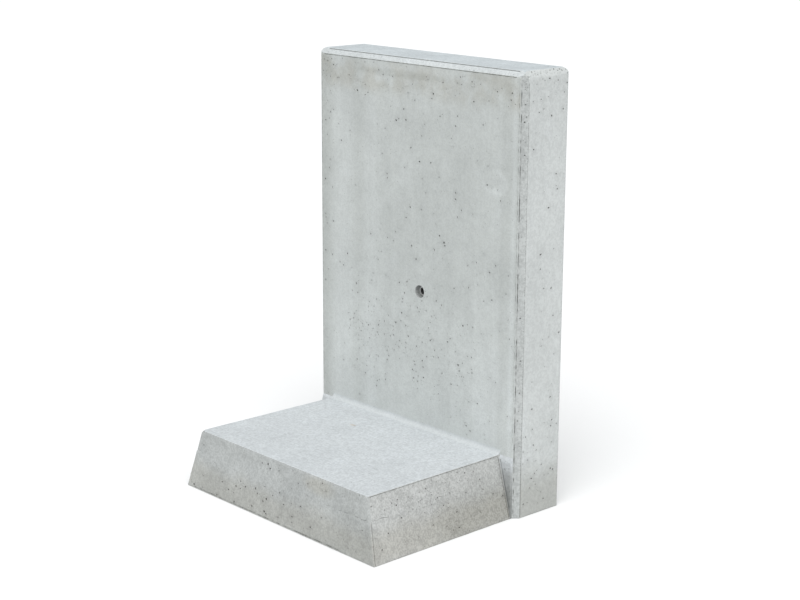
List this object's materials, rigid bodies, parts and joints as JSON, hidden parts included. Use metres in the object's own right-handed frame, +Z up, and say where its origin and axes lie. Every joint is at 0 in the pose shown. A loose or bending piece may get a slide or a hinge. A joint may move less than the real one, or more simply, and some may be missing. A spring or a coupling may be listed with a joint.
{
  "type": "precast retaining wall element",
  "caption": "L-shaped precast concrete wall element: an upright bevelled wall on a flat tapered foot, with a recessed threaded lifting socket and a bar cage inside.",
  "frame": {"origin": "middle of the bounding box, on the underside", "axes": "+Z up the wall, +X along the wall's width, -Y towards the toe of the foot, so +Y is the plain back of the wall"},
  "size_m": [0.5, 0.413, 0.735],
  "materials": {
    "concrete": "matte",
    "socket_steel": "satin",
    "bar_steel": "matte",
    "tie_wire": "satin",
    "spacer_plastic": "matte"
  },
  "bodies": {
    "root": {"concrete_body": "concrete", "lifting_socket": "socket_steel", "socket_cross_pin": "socket_steel", "stem_bar_1": "bar_steel", "stem_bar_2": "bar_steel", "stem_bar_3": "bar_steel", "stem_bar_4": "bar_steel", "stem_bar_5": "bar_steel", "foot_bar_1": "bar_steel", "foot_bar_2": "bar_steel", "foot_bar_3": "bar_steel", "foot_bar_4": "bar_steel", "stem_cross_bar_1": "bar_steel", "stem_cross_bar_2": "bar_steel", "stem_cross_bar_3": "bar_steel", "stem_cross_bar_4": "bar_steel", "stem_cross_bar_5": "bar_steel", "stem_cross_bar_6": "bar_steel", "foot_cross_bar_1": "bar_steel", "foot_cross_bar_2": "bar_steel", "foot_cross_bar_3": "bar_steel", "leg_cross_bar_1": "bar_steel", "leg_cross_bar_2": "bar_steel", "back_cross_bar_1": "bar_steel", "back_cross_bar_2": "bar_steel", "socket_hanger_bar": "bar_steel", "stem_tie_wires": "tie_wire", "foot_tie_wires": "tie_wire", "leg_tie_wires": "tie_wire", "back_tie_wires": "tie_wire", "stem_spacer_1": "spacer_plastic", "stem_spacer_2": "spacer_plastic", "stem_spacer_3": "spacer_plastic", "stem_spacer_4": "spacer_plastic", "foot_spacer_1": "spacer_plastic", "foot_spacer_2": "spacer_plastic", "foot_spacer_3": "spacer_plastic", "foot_spacer_4": "spacer_plastic", "leg_spacer_1": "spacer_plastic", "leg_spacer_2": "spacer_plastic"}
  },
  "joints": []
}
